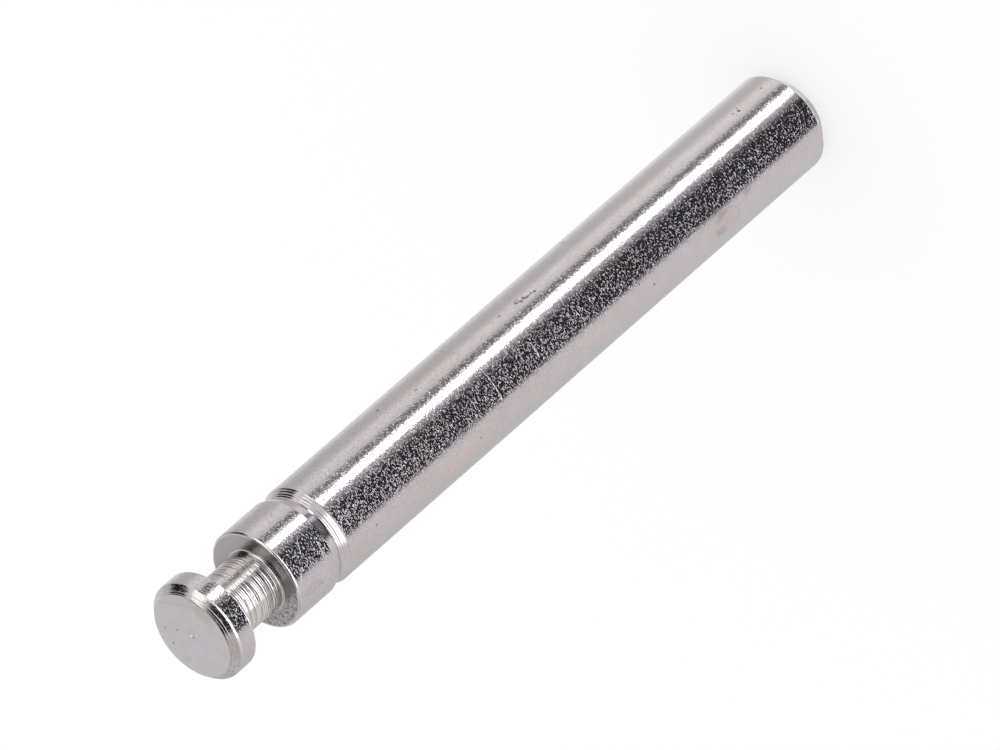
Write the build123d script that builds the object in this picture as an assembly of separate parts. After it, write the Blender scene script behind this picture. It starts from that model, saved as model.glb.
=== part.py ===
from build123d import *
import os

# A carburettor choke pin, turned from one bar. Sizes are in millimetres.
# The pin stands on its tail's flat end: Z runs up its centre line, from the tail to the head's outer face.

# The bar that the pin is turned from
bar_diameter = 5.0
pin_length = 42.8

# Head: a disc at the bar's own diameter, with a chamfer round its outer face
head_thickness = 1.36
head_chamfer_length = 0.37
head_chamfer_depth = 0.36
head_face_round = 0.10
head_rim_round = 0.18
head_back_break = 0.10

# Neck between the head and the shoulder, where the lever's fork or a clip sits
neck_diameter = 3.06
neck_length = 3.01
neck_fillet = 0.13
shoulder_break = 0.12

# Locating groove: a shallow V with its bottom a little nearer the tail
groove_start = 6.90
groove_head_flank = 0.56
groove_tail_flank = 0.49
groove_depth = 0.20
groove_bottom_round = 0.08
groove_edge_round = 0.04

# Tail: a plain chamfer that leads the pin into its bore
tail_chamfer_length = 0.70
tail_chamfer_depth = 0.61
tail_edge_round = 0.12

# Places that follow from the sizes above
bar_radius = bar_diameter / 2
neck_radius = neck_diameter / 2
head_back = pin_length - head_thickness
shoulder = head_back - neck_length
groove_top = pin_length - groove_start
groove_bottom = groove_top - groove_head_flank
groove_low = groove_bottom - groove_tail_flank
groove_radius = bar_radius - groove_depth


def half_section(points):
    """A closed flat shape through points given as radius and height."""
    with BuildSketch(Plane.XZ) as sketch:
        with BuildLine():
            Polyline(*points, close=True)
        make_face()
    return sketch.sketch


def bar_section():
    """The bar, chamfered at its tail and at its head."""
    return half_section([
        (0, 0),
        (bar_radius - tail_chamfer_depth, 0),
        (bar_radius, tail_chamfer_length),
        (bar_radius, pin_length - head_chamfer_length),
        (bar_radius - head_chamfer_depth, pin_length),
        (0, pin_length),
    ])


def neck_recess():
    """What is turned away behind the head."""
    return half_section([
        (neck_radius, shoulder),
        (bar_diameter, shoulder),
        (bar_diameter, head_back),
        (neck_radius, head_back),
    ])


def groove_recess():
    """The V that is turned away for the locating groove, run out past the bar along both flanks."""
    head_slope = groove_head_flank / groove_depth
    tail_slope = groove_tail_flank / groove_depth
    run_out = groove_depth
    return half_section([
        (groove_radius, groove_bottom),
        (bar_radius + run_out, groove_low - tail_slope * run_out),
        (bar_radius + run_out, groove_top + head_slope * run_out),
    ])


def rounded(section, radius, height, size):
    """The section with its corner at that radius and height rounded."""
    place = Plane.XZ.from_local_coords(Vector(radius, height, 0))
    corner = section.vertices().sort_by_distance(place)[0]
    return fillet(corner, size)


def pin_section():
    """Half of the pin's section, with every corner that the lathe leaves rounded."""
    section = bar_section() - neck_recess() - groove_recess()
    section = rounded(section, bar_radius - tail_chamfer_depth, 0, tail_edge_round)
    section = rounded(section, bar_radius, tail_chamfer_length, tail_edge_round)
    section = rounded(section, bar_radius, groove_low, groove_edge_round)
    section = rounded(section, groove_radius, groove_bottom, groove_bottom_round)
    section = rounded(section, bar_radius, groove_top, groove_edge_round)
    section = rounded(section, bar_radius, shoulder, shoulder_break)
    section = rounded(section, neck_radius, shoulder, neck_fillet)
    section = rounded(section, neck_radius, head_back, neck_fillet)
    section = rounded(section, bar_radius, head_back, head_back_break)
    section = rounded(section, bar_radius, pin_length - head_chamfer_length, head_rim_round)
    return rounded(section, bar_radius - head_chamfer_depth, pin_length, head_face_round)


choke_pin = revolve(pin_section(), axis=Axis.Z)
choke_pin.label = "choke_pin"

os.makedirs("parts", exist_ok=True)
export_step(choke_pin, "parts/choke_pin.step")
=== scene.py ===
import math

import bpy
import numpy as np
from bpy.props import FloatProperty, FloatVectorProperty, IntProperty, PointerProperty
from mathutils import Matrix, Vector


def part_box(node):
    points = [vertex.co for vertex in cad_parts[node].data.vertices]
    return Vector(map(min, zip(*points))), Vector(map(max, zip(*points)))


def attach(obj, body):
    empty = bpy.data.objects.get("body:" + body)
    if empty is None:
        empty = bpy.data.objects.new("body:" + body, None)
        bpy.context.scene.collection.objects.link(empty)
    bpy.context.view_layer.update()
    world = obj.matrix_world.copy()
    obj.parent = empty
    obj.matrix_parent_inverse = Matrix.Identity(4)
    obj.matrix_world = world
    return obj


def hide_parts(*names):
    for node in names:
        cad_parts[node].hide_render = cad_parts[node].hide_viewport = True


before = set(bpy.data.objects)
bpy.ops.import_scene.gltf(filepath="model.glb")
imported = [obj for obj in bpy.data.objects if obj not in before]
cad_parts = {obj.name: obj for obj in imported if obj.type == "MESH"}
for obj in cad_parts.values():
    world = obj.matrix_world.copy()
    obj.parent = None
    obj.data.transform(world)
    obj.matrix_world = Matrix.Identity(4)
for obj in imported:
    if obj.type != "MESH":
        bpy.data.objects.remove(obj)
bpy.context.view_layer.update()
LOW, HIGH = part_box("choke_pin")

bl_info = {
    "name": "Choke Pin",
    "version": (1, 0, 0),
    "blender": (4, 5, 0),
    "location": "3D View > Sidebar > Choke Pin",
    "description": "Builds a turned, nickel plated choke pin and the pale studio it stands in",
    "category": "Add Mesh",
}

MM = 0.001
WHITE = (1.0, 1.0, 1.0)
ROUND_STEPS = 6

# The marks below stand where the photograph shows them. A place on the side is given by its distance back
# from the head's face in mm and its turn from the front in degrees. A reach is from a mark's middle, in mm.

# Pits on the side: back, turn, reach round the pin, reach along it, depth of tone
PITS = (
    (5.3, -49.5, 0.30, 0.75, 0.14),
    (5.9, -52.0, 0.06, 0.07, 0.60),
    (9.8, -41.0, 0.06, 0.09, 0.80),
    (16.1, 43.0, 0.05, 0.07, 0.80),
    (17.1, -46.0, 0.07, 0.07, 0.70),
    (23.14, 42.4, 0.08, 0.07, 0.85),
    (23.25, 44.2, 0.04, 0.14, 0.70),
    (23.28, 41.0, 0.04, 0.16, 0.70),
    (23.42, 44.8, 0.05, 0.06, 0.60),
    (23.45, 39.6, 0.09, 0.10, 0.85),
    (23.66, 40.8, 0.12, 0.10, 0.95),
    (23.80, 39.2, 0.08, 0.12, 0.85),
    (24.05, 39.0, 0.035, 0.26, 0.75),
    (24.30, 38.4, 0.08, 0.09, 0.90),
    (23.40, 55.0, 0.06, 0.07, 0.45),
    (28.0, 71.5, 0.14, 0.12, 0.55),
    (29.6, -44.5, 0.06, 0.07, 0.90),
    (39.1, 43.0, 0.05, 0.06, 0.80),
    (39.4, 41.0, 0.09, 0.10, 0.85),
    (39.5, 45.0, 0.05, 0.08, 0.70),
)

# Warm areas of the plating on the side: back, turn, reach round the pin, reach along it
WARM_AREAS = (
    (15.7, -50.0, 0.70, 2.0),
    (25.2, -42.0, 0.35, 1.9),
    (35.0, -44.5, 0.58, 0.9),
)

# Grey brown spots on the side: back, turn, reach round the pin, reach along it, depth of tone
GREY_BROWN_SPOTS = (
    (34.45, -51.5, 0.30, 0.42, 0.35),
    (34.70, -34.0, 0.28, 0.60, 0.35),
    (35.00, -45.0, 0.60, 0.90, 0.12),
    (36.65, -32.0, 0.25, 0.40, 0.40),
)

# The dark ring of painted shade round a shallow dent on the side, which has no relief: back, turn, reach
# round the pin, reach along it
DENT = (35.0, -45.0, 0.50, 0.85)

# Fine scratches on the side: back, turn, slant in mm for each degree of turn, half of the length in degrees
SCRATCHES = (
    (4.85, -26.5, 0.027, 5.5),
    (5.58, -3.0, 0.022, 6.0),
    (6.45, -19.5, 0.004, 9.5),
    (17.00, 32.5, 0.0, 6.5),
    (17.26, -22.0, 0.002, 2.5),
    (18.97, -7.0, 0.001, 21.0),
    (19.10, 58.0, 0.008, 12.0),
    (21.90, -10.0, 0.002, 9.0),
    (41.10, 48.5, -0.19, 4.5),
)

# Small dots on the head's face: across and up it in mm, reach, depth of tone, below 0 for a bright dot that
# is a painted glint
FACE_DOTS = (
    (0.04, 0.04, 0.085, -0.90),
    (-0.10, -0.36, 0.055, -0.40),
    (-0.08, -0.04, 0.060, 0.80),
    (0.15, -0.02, 0.045, 0.35),
    (-0.17, -0.48, 0.045, 0.50),
    (1.07, 1.16, 0.095, 0.30),
    (0.64, 0.55, 0.055, 0.75),
    (0.33, 1.47, 0.070, 0.80),
    (0.83, 1.81, 0.060, 0.35),
    (-0.32, -1.67, 0.055, 0.30),
    (-0.63, 1.34, 0.170, 0.10),
    (-0.69, 1.64, 0.040, 0.30),
    (-1.03, 0.00, 0.090, 0.08),
    (-1.47, -0.21, 0.045, 0.25),
)

# The pip that the parting tool left on the face: across and up it in mm, lift, below 0 for a hollow
PIP = ((0.0, 0.0, -1.0), (0.12, 0.02, 1.0), (-0.03, 0.09, 0.8))


# What a user may change


def length(name, description, value):
    """A length in metres."""
    return FloatProperty(
        name=name, description=description, default=value, min=0.0, unit="LENGTH", precision=6
    )


def amount(name, description, value, low=0.0, high=10.0):
    """A plain number."""
    return FloatProperty(name=name, description=description, default=value, min=low, max=high, precision=4)


def angle(name, description, degrees):
    """An angle, given in degrees and kept in radians."""
    return FloatProperty(
        name=name, description=description, default=math.radians(degrees), subtype="ANGLE", unit="ROTATION"
    )


def colour(name, description, value):
    """A colour."""
    return FloatVectorProperty(
        name=name, description=description, default=value, size=3, subtype="COLOR", min=0.0, max=1.0
    )


class PinSizes(bpy.types.PropertyGroup):
    """The turned shape, the same sizes as the solid."""

    radius: length("Bar radius", "Radius of the bar the pin is turned from", HIGH.x)
    height: length("Length", "From the tail's flat end to the head's outer face", HIGH.z - LOW.z)
    head_thickness: length("Head thickness", "From the head's face to its back", 1.36 * MM)
    head_chamfer_length: length("Head chamfer length", "Along the pin", 0.37 * MM)
    head_chamfer_depth: length("Head chamfer depth", "Across the pin", 0.36 * MM)
    face_round: length("Face round", "Round between the face and its chamfer", 0.10 * MM)
    rim_round: length("Rim round", "Round between the chamfer and the rim", 0.18 * MM)
    back_break: length("Head back break", "Round at the back of the head", 0.10 * MM)
    neck_radius: length("Neck radius", "Radius of the neck behind the head", 1.53 * MM)
    neck_length: length("Neck length", "From the head's back to the shoulder", 3.01 * MM)
    neck_fillet: length("Neck fillet", "Fillet at both ends of the neck", 0.13 * MM)
    shoulder_break: length("Shoulder break", "Round at the shoulder's rim", 0.12 * MM)
    groove_start: length("Groove start", "From the head's face to the groove", 6.90 * MM)
    groove_head_flank: length("Groove head flank", "Length of the flank nearer the head", 0.56 * MM)
    groove_tail_flank: length("Groove tail flank", "Length of the flank nearer the tail", 0.49 * MM)
    groove_depth: length("Groove depth", "Depth of the groove", 0.20 * MM)
    groove_bottom_round: length("Groove bottom round", "Round in the groove's bottom", 0.08 * MM)
    groove_edge_round: length("Groove edge round", "Round at the groove's two rims", 0.04 * MM)
    tail_chamfer_length: length("Tail chamfer length", "Along the pin", 0.70 * MM)
    tail_chamfer_depth: length("Tail chamfer depth", "Across the pin", 0.61 * MM)
    tail_round: length("Tail round", "Round at both edges of the tail's chamfer", 0.12 * MM)
    segments: IntProperty(name="Segments", description="Facets round the pin", default=160, min=24, max=360)


class PinFinish(bpy.types.PropertyGroup):
    """The plating, the marks that the lathe and handling left, and the painted shade, sheen, highlights and
    glints on it.
    """

    nickel: colour("Nickel", "Colour of the plating", (0.605, 0.570, 0.600))
    inner_nickel: colour("Inner nickel", "The plating on the neck and the shoulder", (0.700, 0.680, 0.675))
    edge_nickel: colour("Edge nickel", "The plating on the chamfers", (0.605, 0.575, 0.575))
    warm_nickel: colour("Warm nickel", "The plating's warmer patches", (0.60, 0.545, 0.535))
    # The next colour is a painted sheen that the sides fade to toward the tail.
    side_sheen: colour("Side sheen", "What the sides fade to toward the tail", (0.90, 0.87, 0.88))
    film: colour("Film", "The thin film on the plating", (0.42, 0.38, 0.38))
    # The next colour is the lighter painted shade on the shoulder's two sides.
    shoulder_side_shade: colour("Shoulder sides", "The two sides of the shoulder", (0.47, 0.435, 0.455))
    # The next colour is a painted highlight on the small rounds at the rims, brightest at the front.
    rim_highlight: colour("Rim highlight", "The worn rims at the front", (0.88, 0.86, 0.84))
    # At 1.65 times, the next colour also gives painted glints in some specks.
    frost_nickel: colour("Frosted nickel", "The frosted specks", (0.6016, 0.5824, 0.5920))
    warm_area: colour("Warm areas", "The warm areas on the side", (0.655, 0.58, 0.54))
    grey_brown: colour("Grey brown spots", "The grey brown smudges on the side", (0.30, 0.28, 0.25))
    # The next colour is painted shade on one side of the head's face.
    face_shade: colour("Face shade", "The rubbed side of the head's face", (0.49, 0.445, 0.40))
    # The next colour is a thin dark line inside the edge of that painted shade.
    face_inner_line: colour("Inner face line", "The thin edge of the rubbed side", (0.25, 0.20, 0.17))
    # The next colour is painted glints in the bright dots on the head's face.
    dot_glint: colour("Bright dots", "The bright dots on the head's face", (1.0, 0.98, 1.0))
    # The next colour also gives the painted shade in the neck's scores and round the dent.
    pit: colour("Pits", "Colour in the pits and stains", (0.135, 0.115, 0.107))
    polish: amount("Polish", "Roughness of the clean plating", 0.05, 0.0, 1.0)
    haze: amount("Haze", "Roughness of the plating's fine haze", 0.17, 0.0, 1.0)
    haze_share: amount("Haze share", "Share of the light that the haze takes", 0.25, 0.0, 1.0)
    frost: amount("Frost", "Roughness of the frosted specks", 0.6, 0.0, 1.0)
    frost_share: amount("Frost share", "How much of a speck is frosted", 0.92, 0.0, 1.0)
    speck_scale: amount("Speck scale", "Frosted specks in a metre, roughly", 8400.0, 100.0, 40000.0)
    grain: length("Grain", "Height of the fine grain that runs round the pin", 0.0072 * MM)
    neck_feed: length("Neck feed", "Spacing of the neck's turning rings", 0.112 * MM)
    neck_ring: length("Neck ring depth", "Depth of the neck's turning rings", 0.0130 * MM)
    fine_ring: length("Fine ring depth", "Depth of the rings on the faces and flanks", 0.0015 * MM)
    ridge: length("Ridge height", "Height of the two ridges on the head's chamfer", 0.008 * MM)
    crown: length("Face crown", "How far the head's face falls away at its edge", 0.018 * MM)


class Studio(bpy.types.PropertyGroup):
    """Camera, floor and light."""

    lens: amount("Lens", "Focal length in millimetres", 396.6, 20.0, 800.0)
    camera_place: FloatVectorProperty(
        name="Camera place", description="Where the camera stands",
        default=(-0.255 * MM, -404.6 * MM, 299.06 * MM),
        size=3, subtype="TRANSLATION", unit="LENGTH", precision=6,
    )
    camera_fall: angle("Camera fall", "How steeply the camera looks down", 34.447)
    camera_roll: angle("Camera roll", "How far the camera is rolled about its view", -131.183)
    floor: colour("Floor", "Colour of the floor and of the room behind it", WHITE)
    shadow: amount("Shadow", "Share of the floor's light that the pin can shade", 0.35, 0.0, 1.0)
    pale: amount("Pale walls", "Level of the pale walls that the metal mirrors", 0.84)
    dark: amount("Dark side", "Level of the unlit side that the metal mirrors", 0.038)
    lamp: amount("Soft box", "Level of the long soft box's lower end", 4.5)
    lamp_top: amount("Soft box top", "Level of the soft box's upper end", 1.25)
    box_turn: amount("Soft box turn", "Degrees from the front, where the box stands upright", 33.6, 0.0, 90.0)
    box_width: amount("Soft box width", "Half of its width in degrees", 6.9, 0.0, 45.0)
    sill: amount("Sill", "Level that the lower edge of the lit sill adds", 0.6)
    under: amount("Low light", "Level that a small low light in front adds", 3.2)


# Shader maths


class Wire:
    """A value in a node tree. Arithmetic on it adds the Math nodes."""

    def __init__(self, board, socket):
        self.board = board
        self.socket = socket

    def math(self, operation, *others):
        """One Math node, with this value first."""
        values = dict(enumerate((self, *others)))
        return self.board.add("ShaderNodeMath", {"operation": operation}, values)

    def __add__(self, other):
        return self.math("ADD", other)

    __radd__ = __add__

    def __mul__(self, other):
        return self.math("MULTIPLY", other)

    __rmul__ = __mul__

    def __sub__(self, other):
        return self.math("SUBTRACT", other)

    def __rsub__(self, other):
        return self.board.add("ShaderNodeMath", {"operation": "SUBTRACT"}, {0: other, 1: self})

    def __truediv__(self, other):
        return self.math("DIVIDE", other)

    def __pow__(self, other):
        return self.math("POWER", other)

    def __neg__(self):
        return self.math("MULTIPLY", -1.0)

    def __abs__(self):
        return self.math("ABSOLUTE")

    def most(self, other):
        """The larger of the two."""
        return self.math("MAXIMUM", other)

    def least(self, other):
        """The smaller of the two."""
        return self.math("MINIMUM", other)

    def step(self, low, high):
        """0 below low, 1 above high and smooth between them; the two may be wires."""
        return self.board.add(
            "ShaderNodeMapRange",
            {"interpolation_type": "SMOOTHSTEP"},
            {"Value": self, "From Min": low, "From Max": high},
        )

    def band(self, low, high, soft):
        """1 between low and high, with soft edges."""
        return self.step(low - soft, low + soft) * (1 - self.step(high - soft, high + soft))

    def other(self, output):
        """Another output of the node that this value comes from."""
        return Wire(self.board, self.socket.node.outputs[output])


class Board:
    """Adds nodes to one tree."""

    def __init__(self, tree):
        self.tree = tree
        tree.nodes.clear()

    def add(self, kind, settings=None, sockets=None, output=0):
        """One node: its settings first, then its sockets by name or place. Gives one output."""
        node = self.tree.nodes.new(kind)
        for name, value in (settings or {}).items():
            setattr(node, name, value)
        for name, value in (sockets or {}).items():
            if isinstance(value, Wire):
                self.tree.links.new(value.socket, node.inputs[name])
            else:
                node.inputs[name].default_value = value
        return Wire(self, node.outputs[output]) if len(node.outputs) else node

    def blend(self, share, low, high):
        """A mix of two colours. The Mix node's sockets for colours are 6 and 7, and the mixed one is 2."""
        return self.add(
            "ShaderNodeMix",
            {"data_type": "RGBA", "clamp_factor": True},
            {0: share, 6: low, 7: high},
            output=2,
        )

    def scaled(self, vector, scale):
        """A vector times three numbers."""
        return self.add("ShaderNodeVectorMath", {"operation": "MULTIPLY"}, {0: vector, 1: scale})

    def noise(self, vector, scale, detail=2.0, rough=0.5):
        """Smooth noise from 0 to 1."""
        return self.add(
            "ShaderNodeTexNoise",
            {"noise_dimensions": "3D"},
            {"Vector": vector, "Scale": scale, "Detail": detail, "Roughness": rough},
        )

    def cells(self, vector, scale):
        """Distance to the nearest of many scattered points; its other output is a colour for each point."""
        return self.add("ShaderNodeTexVoronoi", {"feature": "F1"}, {"Vector": vector, "Scale": scale})

    def split(self, vector):
        """The three parts of a vector."""
        x = self.add("ShaderNodeSeparateXYZ", None, {0: vector})
        return x, x.other("Y"), x.other("Z")

    def join(self, x, y, z):
        """A vector of three parts."""
        return self.add("ShaderNodeCombineXYZ", None, {0: x, 1: y, 2: z})

    def reach(self, place, centre, sizes):
        """Distance from a centre, counted in a size that may differ along the three axes."""
        away = self.add("ShaderNodeVectorMath", {"operation": "SUBTRACT"}, {0: place, 1: centre})
        shares = self.scaled(away, [1 / size for size in sizes])
        return self.add("ShaderNodeVectorMath", {"operation": "LENGTH"}, {0: shares}, output="Value")


def rgba(tone, scale=1.0):
    """A colour as a shader's socket takes it."""
    return (*[part * scale for part in tone], 1.0)


def turn_from_front(x, y):
    """Degrees round the pin's centre line, 0 at the front and above 0 on the right."""
    return x.math("ARCTAN2", -y) * (180 / math.pi)


# The turned shape


def straight_points(start, stop, region, step):
    """Points with their outward normals on a straight stretch, about a step apart."""
    along = stop - start
    normal = Vector((along.y, -along.x)).normalized()
    pieces = max(1, round(along.length / step))
    return [
        (start + along * (k / pieces), normal, region, along.length * k / pieces) for k in range(pieces + 1)
    ]


def round_points(start, centre, stop, normal, region):
    """Points with their outward normals on a round, between its two ends and without them."""
    first, last = start - centre, stop - centre
    turn = first.angle_signed(last)
    bulge = 1 if first.dot(normal) > 0 else -1
    arms = [Matrix.Rotation(-turn * k / ROUND_STEPS, 2) @ first for k in range(1, ROUND_STEPS)]
    return [(centre + arm, arm.normalized() * bulge, region, 0.0) for arm in arms]


class Outline:
    """Half of the pin's section, from the middle of the tail to the middle of the head."""

    def __init__(self):
        self.corners = []

    def corner(self, radius, height, size=0.0, region=None, step=None, bend="round"):
        """Adds a corner with a round of that size.

        The region and the step belong to the straight stretch that leads to it. The bend is the region of
        its round.
        """
        self.corners.append((Vector((radius, height)), size, region, step, bend))

    def ends(self, i):
        """Where a corner's round starts, its centre and where it ends. A sharp corner has no centre."""
        place, size = self.corners[i][:2]
        if not size:
            return place, None, place
        back = (self.corners[i - 1][0] - place).normalized()
        on = (self.corners[i + 1][0] - place).normalized()
        half = back.angle(on) / 2
        cut = size / math.tan(half)
        centre = place + (back + on).normalized() * (size / math.sin(half))
        return place + back * cut, centre, place + on * cut

    def points(self):
        """Points with their outward normals, region and distance along the region."""
        made = []
        for i in range(1, len(self.corners)):
            region, step, bend = self.corners[i][2:]
            start, centre, stop = self.ends(i)
            made += straight_points(self.ends(i - 1)[2], start, region, step)
            if centre:
                made += round_points(start, centre, stop, made[-1][1], bend)
        return made


def pin_outline(size, finish):
    """The pin's outline, in the order that the tool would run from the tail to the head."""
    top = size.height
    back = top - size.head_thickness
    shoulder = back - size.neck_length
    groove_top = top - size.groove_start
    groove_bottom = groove_top - size.groove_head_flank
    groove_low = groove_bottom - size.groove_tail_flank
    ring = finish.neck_feed / 6
    out = Outline()
    out.corner(0, 0)
    out.corner(size.radius - size.tail_chamfer_depth, 0, size.tail_round, "tail face", 0.08 * MM)
    out.corner(size.radius, size.tail_chamfer_length, size.tail_round, "tail chamfer", ring * 1.5)
    out.corner(size.radius, groove_low, size.groove_edge_round, "shank", 0.60 * MM)
    out.corner(size.radius - size.groove_depth, groove_bottom, size.groove_bottom_round, "groove", ring)
    out.corner(size.radius, groove_top, size.groove_edge_round, "groove wall", ring * 2)
    out.corner(size.radius, shoulder, size.shoulder_break, "land", 0.25 * MM, "highlit rim")
    out.corner(size.neck_radius, shoulder, size.neck_fillet, "shoulder", ring * 1.5)
    out.corner(size.neck_radius, back, size.neck_fillet, "neck", ring * 0.7)
    out.corner(size.radius, back, size.back_break, "shoulder", ring * 2, "highlit rim")
    out.corner(size.radius, top - size.head_chamfer_length, size.rim_round, "rim", 0.15 * MM, "highlit rim")
    out.corner(size.radius - size.head_chamfer_depth, top, size.face_round, "chamfer", ring / 2)
    out.corner(0, top, 0.0, "face", ring * 2)
    return out.points()


class Rings:
    """The ridges that the tool left on one turned stretch: uneven, and the same each run."""

    longest = 45 * MM
    jitter = 0.22

    def __init__(self, seed, feed, depth, lean=0.5):
        """The lean is where the valley lies between two ridges: at half, both flanks are as steep."""
        dice = np.random.default_rng(seed)
        count = int(self.longest / feed)
        centres = (np.arange(count) + dice.uniform(-self.jitter, self.jitter, count)) * feed
        heights = dice.uniform(0.4, 1.0, count)
        valleys = -dice.uniform(0.35, 1.0, count)
        self.places = np.column_stack([centres, centres + feed * lean]).ravel()
        self.heights = np.column_stack([heights, valleys]).ravel() * depth

    def __call__(self, along):
        return float(np.interp(along, self.places, self.heights))


def chamfer_relief(finish):
    """Faint rings, and two sharp ridges close to the face, each with a long flank and a short one."""
    rings = Rings(14, finish.neck_feed * 0.7, finish.fine_ring * 1.1)
    ridges = (0.235 * MM, 0.356 * MM)
    long_flank, short_flank = 0.032 * MM, 0.012 * MM

    def relief(along):
        lift = 0.0
        for ridge in ridges:
            flank = long_flank if along < ridge else short_flank
            lift = max(lift, 1 - abs(ridge - along) / flank)
        return rings(along) + finish.ridge * lift

    return relief


def face_relief(finish):
    """Faint rings on a face that falls away a little at its edge."""
    rings = Rings(16, finish.neck_feed * 1.5, finish.fine_ring * 0.06)
    edge = 0.33 * MM

    def relief(along):
        inward = min(along / edge, 1.0)
        return rings(along) * inward + finish.crown * (1 - (1 - inward) ** 2)

    return relief


def neck_relief(size, finish):
    """Sharp, uneven rings whose longer flank looks to the head, deeper toward the head."""
    rings = Rings(11, finish.neck_feed, finish.neck_ring, 0.80)

    def relief(along):
        share = along / size.neck_length
        return rings(along) * (0.85 + share ** 2)

    return relief


def tool_relief(size, finish):
    """What the tool left on each region: a function that gives the lift at a distance along it."""
    return {
        "neck": neck_relief(size, finish),
        "shoulder": Rings(12, finish.neck_feed, finish.fine_ring),
        "groove": Rings(13, finish.neck_feed * 1.3, finish.fine_ring * 7.5, 0.25),
        "chamfer": chamfer_relief(finish),
        "tail chamfer": Rings(15, finish.neck_feed * 1.5, finish.fine_ring),
        "face": face_relief(finish),
        "tail face": Rings(17, finish.neck_feed * 2, finish.fine_ring * 0.3),
    }


def lathe_points(rings, turns):
    """The outline's points turned round the pin's centre line, one ring after the other."""
    angles = np.arange(turns) * 2 * math.pi / turns
    radius = np.array([ring.x for ring in rings])[:, None]
    height = np.array([ring.y for ring in rings])[:, None]
    parts = np.broadcast_arrays(radius * np.cos(angles), radius * np.sin(angles), height)
    return np.stack(parts, axis=-1).reshape(-1, 3).tolist()


def pin_mesh(size, finish, slots):
    """The lathe's surface with its turning rings as real relief, closed by a fan at each end."""
    relief = tool_relief(size, finish)
    outline = pin_outline(size, finish)[1:-1]
    lifts = [relief[region](along) if region in relief else 0.0 for _, _, region, along in outline]
    rings = [place + normal * lift for (place, normal, _, _), lift in zip(outline, lifts)]
    turns = size.segments
    points = lathe_points(rings, turns)
    tail, head = len(points), len(points) + 1
    points += [[0.0, 0.0, 0.0], [0.0, 0.0, size.height + finish.crown]]
    pairs = [(k, (k + 1) % turns) for k in range(turns)]
    faces, material = [], []
    for i in range(len(rings) - 1):
        low, high = i * turns, (i + 1) * turns
        faces += [(low + k, low + n, high + n, high + k) for k, n in pairs]
        material += [slots[outline[i][2]]] * turns
    last = (len(rings) - 1) * turns
    for k, n in pairs:
        faces += [(tail, n, k), (head, last + k, last + n)]
        material += [slots["tail face"], slots["face"]]
    mesh = bpy.data.meshes.new("turned_pin")
    mesh.from_pydata(points, [], faces)
    mesh.polygons.foreach_set("material_index", material)
    mesh.shade_smooth()
    mesh.validate()
    return mesh


# The plating


def side_point(size, back, turn):
    """A point of the side, from its distance back in mm and its turn from the front in degrees."""
    around = math.radians(turn)
    return size.radius * math.sin(around), -size.radius * math.cos(around), size.height - back * MM


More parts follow.
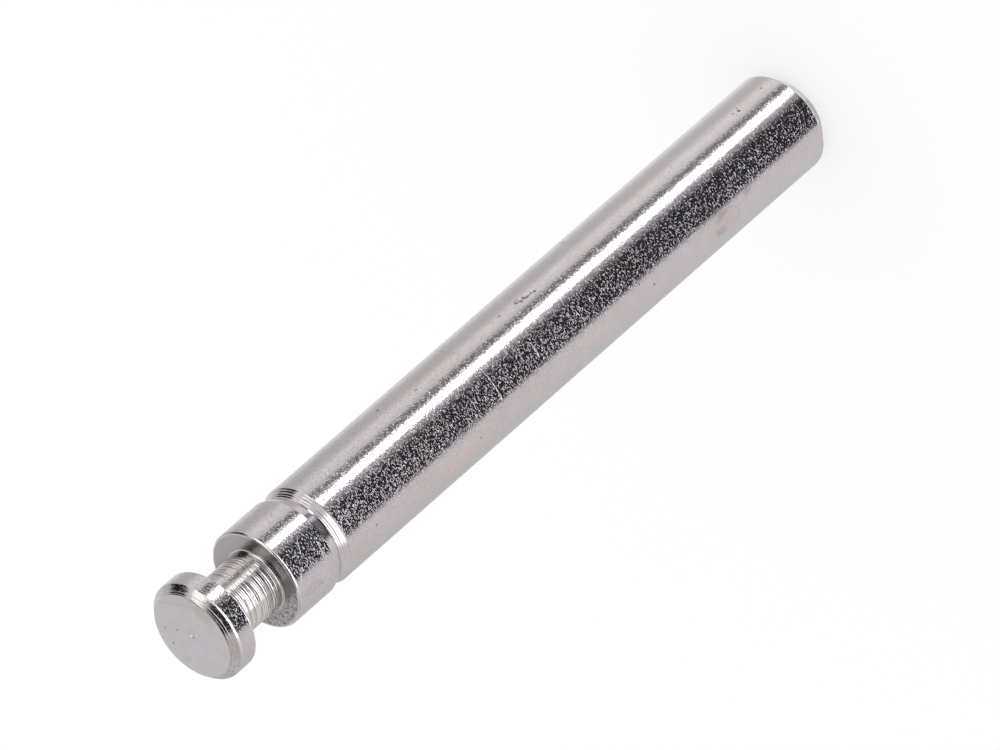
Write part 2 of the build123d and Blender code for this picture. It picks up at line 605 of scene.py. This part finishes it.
class Plating:
    """Bright nickel on turned steel. Each method adds one part of its look, and the last gives the material.

    The relief and the distance back from the head's face are in mm.
    """

    pit_depth = 0.020
    speck_depth = 0.005
    fleck_depth = 0.006
    scratch_depth = 0.004
    pip_height = 0.022

    def __init__(self, name, size, finish):
        self.material = bpy.data.materials.new(name)
        self.material.use_nodes = True
        self.board = Board(self.material.node_tree)
        self.size = size
        self.finish = finish
        self.place = self.board.add("ShaderNodeTexCoord", output="Object")
        self.x, self.y, self.z = self.board.split(self.place)
        self.across = self.x / size.radius
        self.behind = self.y / size.radius
        self.back = (size.height - self.z) / MM
        self.relief = 0.0
        self.frosted = 0.0
        self.body = None

    def noise(self, scale, along=1.0, detail=2.0, rough=0.5):
        """Smooth noise from 0 to 1. Along says how much finer it is along the pin than round it."""
        place = self.place if along == 1.0 else self.board.scaled(self.place, (1.0, 1.0, along))
        return self.board.noise(place, scale, detail, rough)

    def paint(self, share, tone, dim=1.0):
        """Lays a colour over the plating, as thick as the share says."""
        self.body = self.board.blend(share, self.body, rgba(tone, dim))

    def raised(self, lift):
        """Adds a lift to the relief."""
        self.relief = self.relief + lift

    def soft_spot(self, centre, sizes, core=0.3):
        """1 in the core of a soft spot, fading to 0 a little outside its sizes."""
        near = self.board.reach(self.place, centre, [part * MM for part in sizes])
        return 1 - near.step(core, 1.2)

    def ragged_spot(self, centre, sizes, rough=1.1):
        """1 in a spot with a ragged edge, 0 outside it."""
        ragged = (self.noise(9000.0, rough=0.7) - 0.5) * rough
        near = self.board.reach(self.place, centre, [part * MM for part in sizes]) + ragged
        return 1 - near.step(0.65, 1.0)

    def nickel(self, tone, dim=1.0):
        """The colour, with warmer patches and a thin film, and a painted sheen that lightens the sides toward
        the tail.
        """
        finish = self.finish
        self.body = rgba(tone, dim)
        patches = self.noise(380.0, along=0.6, rough=0.6).step(0.42, 0.66)
        self.paint(patches * 0.6, finish.warm_nickel, dim)
        film = self.noise(1500.0, detail=3.0, rough=0.6).step(0.35, 0.75)
        self.paint(film * 0.17, finish.film, dim)
        # Painted sheen: the sides turn lighter toward the tail.
        lighter = (self.across * self.across) ** 2 * 0.011 + self.across * 0.0025 + 0.001
        self.paint(self.back * lighter, finish.side_sheen)

    def grain(self, height=1.0, frost=1.0):
        """Fine relief drawn round the pin and frosted specks, both fainter toward the tail."""
        finish = self.finish
        fade = 1 - self.back * 0.0042
        shank = self.back.step(6.3, 7.6) * 0.65 + 0.35
        head = 1 - self.back.step(1.30, 1.50)
        drawn = self.noise(9500.0, along=2.7, detail=0.0)
        drawn = drawn.step(self.back * 0.0018 + 0.60, 0.81) + drawn * 0.8
        self.raised(drawn * fade * shank * (finish.grain * height / MM))
        specks = self.noise(finish.speck_scale, along=2.1, detail=0.3)
        least = 0.917 - fade * 0.385 + self.back * 0.0008 + shank * 0.07 + head * 0.035
        self.frosted = specks.step(least, least + 0.08) * (finish.frost_share * frost)

    def arcs(self, rare, depth, tone=0.0):
        """Short arcs that the tool or handling scored round the pin, the fewer the nearer rare is to 1. A
        tone above 0 darkens them with painted shade.
        """
        spacing = 0.085 * MM
        line = (self.z + self.x * 0.03) / spacing
        row = line.math("FLOOR")
        place = self.board.join(self.x * 620.0, self.y * 620.0, row * 3.7)
        scored = self.board.noise(place, 1.0, 0.0).step(rare, rare + 0.04)
        scored = scored * (line - row).band(0.35, 0.65, 0.12)
        self.raised(scored * -depth)
        # Painted shade in the scores, as deep as the tone says.
        self.paint(scored * tone, self.finish.pit)

    def scattered_pits(self, share, reach, tone):
        """Small pits scattered by chance. The share says how many of the scattered points hold one."""
        near = self.board.cells(self.place, 2300.0)
        # The point's colour turns grey here on purpose, as a number drawn by lot for each point
        lot = near.other("Color") - (1 - share)
        pit = (lot.most(0.0) * (reach / share) - near).step(0.0, 0.04)
        self.raised(pit * -self.speck_depth)
        self.paint(pit * tone, self.finish.pit)

    def dark_flecks(self, tone, start=-1.0):
        """Small dark marks, thickest on the left. Start is where they set in: -1 is the front, 1 the back."""
        side = (1 - self.across.step(-0.75, -0.1)) * self.behind.step(start - 0.55, start)
        flecks = self.noise(7000.0, rough=0.7).step(0.50, 0.60) * side
        self.paint(flecks * tone, self.finish.pit)
        self.raised(flecks * -self.fleck_depth)

    def side_marks(self):
        """The warm areas, grey brown spots, painted shade round the dent, pits and scratches that the
        photograph shows on the side.
        """
        size, finish = self.size, self.finish
        for back, turn, wide, long in WARM_AREAS:
            spot = self.soft_spot(side_point(size, back, turn), (wide, wide, long))
            self.paint(spot * 0.55, finish.warm_area)
        for back, turn, wide, long, depth in GREY_BROWN_SPOTS:
            spot = self.soft_spot(side_point(size, back, turn), (wide, wide, long), 0.2)
            self.paint(spot * depth, finish.grey_brown)
        self.dent(*DENT)
        for back, turn, wide, long, depth in PITS:
            spot = self.ragged_spot(side_point(size, back, turn), (wide, wide, long))
            self.raised(spot * (-self.pit_depth * depth))
            self.paint(spot * depth, finish.pit)
        self.scratches()

    def dent(self, back, turn, wide, long):
        """Painted shade in a ragged ring round a shallow dent that has no relief."""
        sizes = [part * MM for part in (wide, wide, long)]
        near = self.board.reach(self.place, side_point(self.size, back, turn), sizes)
        near = near + (self.noise(3000.0, detail=1.0) - 0.5) * 0.5
        # Painted shade at the dent's rim.
        self.paint(near.band(0.90, 1.04, 0.08) * 0.16, self.finish.pit)

    def scratches(self):
        """Fine scratches on the side, cut in and frosted."""
        turn = turn_from_front(self.x, self.y)
        for back, middle, slant, half in SCRATCHES:
            away = abs(self.back - back - (turn - middle) * slant)
            scratch = (1 - away.step(0.010, 0.030)) * turn.band(middle - half, middle + half, 1.5)
            self.raised(scratch * -self.scratch_depth)
            self.frosted = self.frosted.most(scratch * 0.9)

    def face_marks(self):
        """Painted shade on one side of the face with a thin dark line inside it, a few dark dots, bright dots
        that are painted glints, and the parting tool's pip.
        """
        finish = self.finish
        top = self.size.height + finish.crown
        # Painted shade toward one side of the face, deepest in a soft spot near its edge.
        toward_shade = self.x * (0.84 / MM) - self.y * (0.54 / MM) + self.noise(1400.0, detail=1.0) * 0.16
        warm = self.soft_spot((0.42 * MM, -1.78 * MM, top), (0.75, 0.50, 5.0)) * 0.60
        self.paint(warm.most(toward_shade.step(1.60, 1.85) * 0.25), finish.face_shade)
        # A thin dark line inside the edge of the painted shade.
        self.paint(toward_shade.band(1.70, 1.76, 0.045) * 0.20, finish.face_inner_line)
        for across, up, reach, depth in FACE_DOTS:
            dot = self.ragged_spot((across * MM, up * MM, top), (reach, reach, 1.0), 0.6)
            # Dots below 0 are painted glints, the rest dark spots.
            self.paint(dot * abs(depth), finish.pit if depth > 0 else finish.dot_glint)
        for across, up, lift in PIP:
            pip = self.ragged_spot((across * MM, up * MM, top), (0.055, 0.055, 1.0), 0.5)
            self.raised(pip * (self.pip_height * lift))

    def metal(self, tone, roughness, bump):
        """One sheen of the metal."""
        return self.board.add(
            "ShaderNodeBsdfPrincipled",
            None,
            {"Base Color": tone, "Metallic": 1.0, "Roughness": roughness, "Normal": bump},
        )

    def finished(self, rough=0.0, haze=1.0):
        """Joins the clean, hazy and frosted plating, with painted glints in some frosted specks, and gives
        the material.
        """
        board, finish = self.board, self.finish
        bump = board.add("ShaderNodeBump", None, {"Strength": 1.0, "Distance": MM, "Height": self.relief})
        # Painted glints: some frosted specks in a band down the middle of the pin are lightened to 1.65 times
        # their colour.
        bright = self.noise(5600.0, along=1.6, detail=0.0).step(0.50, 0.64)
        bright = bright * self.across.band(-0.40, 0.20, 0.12)
        frost = board.blend(bright, rgba(finish.frost_nickel), rgba(finish.frost_nickel, 1.65))
        clean = self.metal(self.body, finish.polish + rough, bump)
        hazy = self.metal(self.body, finish.haze + rough, bump)
        frosted = self.metal(frost, finish.frost, bump)
        shader = board.add("ShaderNodeMixShader", None, {0: finish.haze_share * haze, 1: clean, 2: hazy})
        shader = board.add("ShaderNodeMixShader", None, {0: self.frosted, 1: shader, 2: frosted})
        board.add("ShaderNodeOutputMaterial", None, {"Surface": shader})
        return self.material


def plain_side(size, finish):
    """The bar's own surface: the shank, the land and the head's rim."""
    plating = Plating("nickel_side", size, finish)
    plating.nickel(finish.nickel)
    plating.grain()
    plating.arcs(0.75, 0.002)
    plating.scattered_pits(0.26, 0.26, 0.65)
    plating.side_marks()
    return plating.finished()


def turned_neck(size, finish):
    """The neck, with painted shade in the scores between its rings."""
    plating = Plating("nickel_neck", size, finish)
    plating.nickel(finish.inner_nickel)
    plating.grain(0.25, 0.10)
    plating.arcs(0.53, 0.006, 0.75)
    return plating.finished()


def square_shoulder(size, finish):
    """The shoulder and the head's back: dimmed by painted shade, lighter at both sides, and with small dark
    flecks thickest on the left.
    """
    plating = Plating("nickel_shoulder", size, finish)
    # The 0.38 dims the whole plating here: painted shade from the head and the neck.
    plating.nickel(finish.inner_nickel, 0.38)
    # Lighter painted shade toward the two sides.
    plating.paint(abs(plating.across).step(0.25, 0.85) * 0.75, finish.shoulder_side_shade)
    plating.grain(0.4, 0.0)
    # Small dark flecks, thickest on the left.
    plating.dark_flecks(0.85)
    return plating.finished(0.12, 0.0)


def faced_end(size, finish):
    """The head's face and the tail's flat end."""
    plating = Plating("nickel_face", size, finish)
    plating.nickel(finish.nickel)
    plating.grain(0.02, 0.0)
    plating.scattered_pits(0.10, 0.16, 0.35)
    plating.face_marks()
    return plating.finished(0.07, 0.0)


def cut_edge(size, finish):
    """The chamfers and the small rounds."""
    plating = Plating("nickel_edge", size, finish)
    plating.nickel(finish.edge_nickel)
    plating.grain(0.35, 0.30)
    # Small dark flecks toward the back and the left.
    plating.dark_flecks(0.30, -0.2)
    return plating.finished(0.03, 0.0)


def grooved(size, finish):
    """The locating groove."""
    plating = Plating("nickel_groove", size, finish)
    plating.nickel(finish.nickel)
    plating.grain(0.12, 0.15)
    plating.side_marks()
    return plating.finished()


def highlit_rim(size, finish):
    """The small rounds at the rims, with a painted highlight that is brightest at the front."""
    plating = Plating("nickel_rim", size, finish)
    plating.nickel(finish.nickel)
    # Painted highlight along the rims, brightest at the front.
    plating.paint(plating.across.band(-0.70, 0.45, 0.20), finish.rim_highlight)
    plating.grain(0.8, 0.3)
    return plating.finished()


# The finish of each region of the outline
FINISH_OF = {
    "shank": plain_side,
    "land": plain_side,
    "rim": plain_side,
    "neck": turned_neck,
    "shoulder": square_shoulder,
    "face": faced_end,
    "tail face": faced_end,
    "chamfer": cut_edge,
    "tail chamfer": cut_edge,
    "round": cut_edge,
    "groove": grooved,
    "groove wall": grooved,
    "highlit rim": highlit_rim,
}


class CHOKEPIN_OT_pin(bpy.types.Operator):
    """Turn the pin from its outline and give it its plating"""

    bl_idname = "choke_pin.pin"
    bl_label = "Turned Pin"

    def execute(self, context):
        size, finish = context.scene.pin_sizes, context.scene.pin_finish
        finishes = list(dict.fromkeys(FINISH_OF.values()))
        slots = {region: finishes.index(make) for region, make in FINISH_OF.items()}
        mesh = pin_mesh(size, finish, slots)
        for make in finishes:
            mesh.materials.append(make(size, finish))
        pin = bpy.data.objects.new("turned_pin", mesh)
        context.scene.collection.objects.link(pin)
        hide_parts("choke_pin")
        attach(pin, "root")
        return {"FINISHED"}


# The stage


class Room:
    """The room that the metal mirrors, drawn by direction.

    A direction has a turn from the front and a rise from level, both in degrees.
    """

    cold_tint = (0.95, 0.95, 1.09)
    right_tint = (1.035, 0.99, 0.96)
    left_tint = (1.035, 0.985, 0.975)
    box_tint = (0.985, 1.0, 0.93)

    def __init__(self, board, studio):
        self.board = board
        self.studio = studio
        x, y, z = board.split(board.add("ShaderNodeTexCoord", output="Generated"))
        self.turn = turn_from_front(x, y)
        self.rise = z.math("ARCSINE") * (180 / math.pi)
        self.sill = self.lit_sill()
        self.unlit = self.dark_side()
        self.box = self.soft_box()
        self.glow = self.box_glow()
        self.ceiling = self.zone((-150.0, -62.0, 8.0), (20.0, 54.0, 6.0))

    def zone(self, turns, rises):
        """1 in one part of the room. Turns and rises are given as from, to and how soft the edges are."""
        return self.turn.band(*turns) * self.rise.band(*rises)

    def lit_sill(self):
        """A lit sill across the walls, whose lower edge sinks a little on the left."""
        lower_edge = self.turn.band(-62.0, -14.0, 8.0) * -3.0 - 13.0
        return (self.rise - lower_edge).step(-4.0, 4.0) * (1 - self.rise.step(30.0, 38.0))

    def dark_side(self):
        """The unlit side in front, below and above the sill, and all of the room high overhead."""
        front = self.turn.band(-56.5, 29.0, 8.0) * (1 - self.sill)
        return front.most(self.rise.step(54.0, 62.0))

    def soft_box(self):
        """A long soft box that leans to the right as it rises and widens toward its top."""
        studio, rise = self.studio, self.rise
        lean = (rise + 12.0).most(0.0).least(21.0) * 0.8 + (rise - 9.0).most(0.0) * 0.33
        lean = lean + (-rise - 33.0).most(0.0) * 0.6
        half_width = (rise - 15.0).most(0.0) * 0.30 + studio.box_width
        away = abs(self.turn - lean - studio.box_turn)
        return (1 - away.step(half_width - 2.0, half_width + 2.0)) * rise.step(-60.0, -50.0)

    def box_glow(self):
        """The soft box's glow on the dark side, next to its lower end."""
        beside = self.turn.step(4.0, 26.0) * (1 - self.turn.step(34.0, 44.0))
        return beside * self.rise.band(-50.0, -20.0, 6.0)

    def box_level(self):
        """How bright the soft box is: most of all low down, and least about level."""
        studio, rise = self.studio, self.rise
        level = rise.band(-46.0, -20.0, 6.0) * (studio.lamp - studio.lamp_top) + studio.lamp_top
        return level + rise.step(25.0, 38.0) * 0.5 - rise.band(-16.0, 3.0, 4.0) * 0.45

    def wall_level(self):
        """The pale walls with darker corners, a bright screen, a dark gap beside the box and a black flag."""
        turn, rise = self.turn, self.rise
        corners = turn.band(98.0, 138.0, 12.0) * 0.26
        corners = corners + (1 - turn.step(-178.0, -85.0)) * (1 - rise.step(0.0, 15.0)) * 0.31
        screen = turn.band(72.0, 92.0, 7.0) * 0.17
        gap_depth = 0.78 - (-rise - 33.0).most(0.0).least(4.0) * 0.03
        gap = turn.band(46.0, 62.0, 3.0) * (1 - rise.step(-12.0, -4.0)) * gap_depth
        flag = self.zone((84.0, 122.0, 5.0), (-12.0, 38.0, 5.0)) * 0.97
        return (1 - corners - self.ceiling * 0.25 + screen) * (1 - gap) * (1 - flag) * self.studio.pale

    def level(self):
        """How bright the room is in each direction."""
        studio, turn, rise = self.studio, self.turn, self.rise
        level = self.wall_level() * (1 - self.unlit) + self.unlit * studio.dark
        sill_level = 0.80 + (1 - rise.step(1.0, 6.0)) * studio.sill
        level = level + turn.band(-58.0, 6.0, 9.0) * self.sill * sill_level
        level = level + self.zone((44.0, 66.0, 5.0), (0.0, 24.0, 4.0))
        level = level + self.glow * 0.48
        level = level * (1 - self.box) + self.box * self.box_level()
        low_light = self.zone((-72.0, -16.0, 8.0), (-62.0, -51.0, 2.0)) * studio.under
        straight_down = 1 - rise.step(-80.0, -70.0)
        straight_up = rise.step(76.0, 84.0) * 0.8
        return level + low_light + straight_down + straight_up

    def tint(self):
        """The room's faint colours: cold in the dark, warm far to both sides, yellowish high in the box."""
        turn, rise = self.turn, self.rise
        walls = rise.step(-60.0, -50.0) * (1 - rise.step(40.0, 50.0))
        cold = self.unlit * (1 - self.box) * (1 - self.glow) * walls
        right = turn.band(72.0, 116.0, 8.0) * 0.8
        left = (turn.band(-112.0, -64.0, 12.0) * 0.8).most(self.ceiling * 0.75)
        tone = self.board.blend(cold, rgba(WHITE), rgba(self.cold_tint))
        tone = self.board.blend(right, tone, rgba(self.right_tint))
        tone = self.board.blend(left, tone, rgba(self.left_tint))
        return self.board.blend(self.box * rise.step(15.0, 30.0), tone, rgba(self.box_tint))


def studio_world(studio):
    """Plain white for the camera and the floor, and the room for what the metal mirrors."""
    world = bpy.data.worlds.new("studio")
    bpy.context.scene.world = world
    world.use_nodes = True
    board = Board(world.node_tree)
    room = Room(board, studio)
    mirrored = board.add("ShaderNodeBackground", None, {"Color": room.tint(), "Strength": room.level()})
    white = board.add("ShaderNodeBackground", None, {"Color": rgba(studio.floor), "Strength": 1.0})
    glossy = board.add("ShaderNodeLightPath", output="Is Glossy Ray")
    shown = board.add("ShaderNodeMixShader", None, {0: glossy, 1: white, 2: mirrored})
    board.add("ShaderNodeOutputWorld", None, {"Surface": shown})
    world.cycles.sampling_method = "NONE"


def studio_floor(studio):
    """A pale floor under the tail that keeps the pin's soft shadow."""
    reach = 1.5
    corners = [(-reach, -reach, 0), (reach, -reach, 0), (reach, reach, 0), (-reach, reach, 0)]
    mesh = bpy.data.meshes.new("floor")
    mesh.from_pydata(corners, [], [(0, 1, 2, 3)])
    floor = bpy.data.objects.new("floor", mesh)
    bpy.context.scene.collection.objects.link(floor)
    material = bpy.data.materials.new("pale_floor")
    material.use_nodes = True
    board = Board(material.node_tree)
    lit = board.add("ShaderNodeBsdfDiffuse", None, {"Color": rgba(studio.floor, studio.shadow)})
    glow = board.add("ShaderNodeEmission", None, {"Color": rgba(studio.floor), "Strength": 1 - studio.shadow})
    both = board.add("ShaderNodeAddShader", None, {0: lit, 1: glow})
    board.add("ShaderNodeOutputMaterial", None, {"Surface": both})
    mesh.materials.append(material)
    floor.visible_glossy = False
    floor.visible_shadow = False


def studio_camera(studio):
    """The photograph's camera: a long lens that looks down on the head, rolled."""
    data = bpy.data.cameras.new("camera")
    data.lens = studio.lens
    data.sensor_width = 36.0
    data.clip_start = 0.01
    data.clip_end = 10.0
    camera = bpy.data.objects.new("camera", data)
    bpy.context.scene.collection.objects.link(camera)
    place = Matrix.Translation(Vector(studio.camera_place))
    fall = Matrix.Rotation(math.pi / 2 - studio.camera_fall, 4, "X")
    camera.matrix_world = place @ fall @ Matrix.Rotation(studio.camera_roll, 4, "Z")
    bpy.context.scene.camera = camera


class CHOKEPIN_OT_stage(bpy.types.Operator):
    """Set up the floor, the light and the camera"""

    bl_idname = "choke_pin.stage"
    bl_label = "Stage"

    def execute(self, context):
        studio = context.scene.pin_studio
        studio_world(studio)
        studio_floor(studio)
        studio_camera(studio)
        context.scene.view_settings.view_transform = "Standard"
        return {"FINISHED"}


# The add-on


class CHOKEPIN_PT_panel(bpy.types.Panel):
    """Lists the pieces of the choke pin"""

    bl_idname = "CHOKEPIN_PT_panel"
    bl_label = "Choke Pin"
    bl_space_type = "VIEW_3D"
    bl_region_type = "UI"
    bl_category = "Choke Pin"

    def draw(self, context):
        for operator in OPERATORS:
            self.layout.operator(operator.bl_idname)
        for group in GROUPS:
            settings = getattr(context.scene, group)
            for name in settings.bl_rna.properties.keys():
                if name not in ("rna_type", "name"):
                    self.layout.prop(settings, name)


OPERATORS = (CHOKEPIN_OT_pin, CHOKEPIN_OT_stage)
GROUPS = {"pin_sizes": PinSizes, "pin_finish": PinFinish, "pin_studio": Studio}
CLASSES = (*GROUPS.values(), *OPERATORS, CHOKEPIN_PT_panel)


def register():
    for kind in CLASSES:
        bpy.utils.register_class(kind)
    for name, group in GROUPS.items():
        setattr(bpy.types.Scene, name, PointerProperty(type=group))


def unregister():
    for name in GROUPS:
        delattr(bpy.types.Scene, name)
    for kind in reversed(CLASSES):
        bpy.utils.unregister_class(kind)


def main():
    register()
    bpy.ops.choke_pin.pin()
    bpy.ops.choke_pin.stage()


if __name__ == "__main__":
    main()
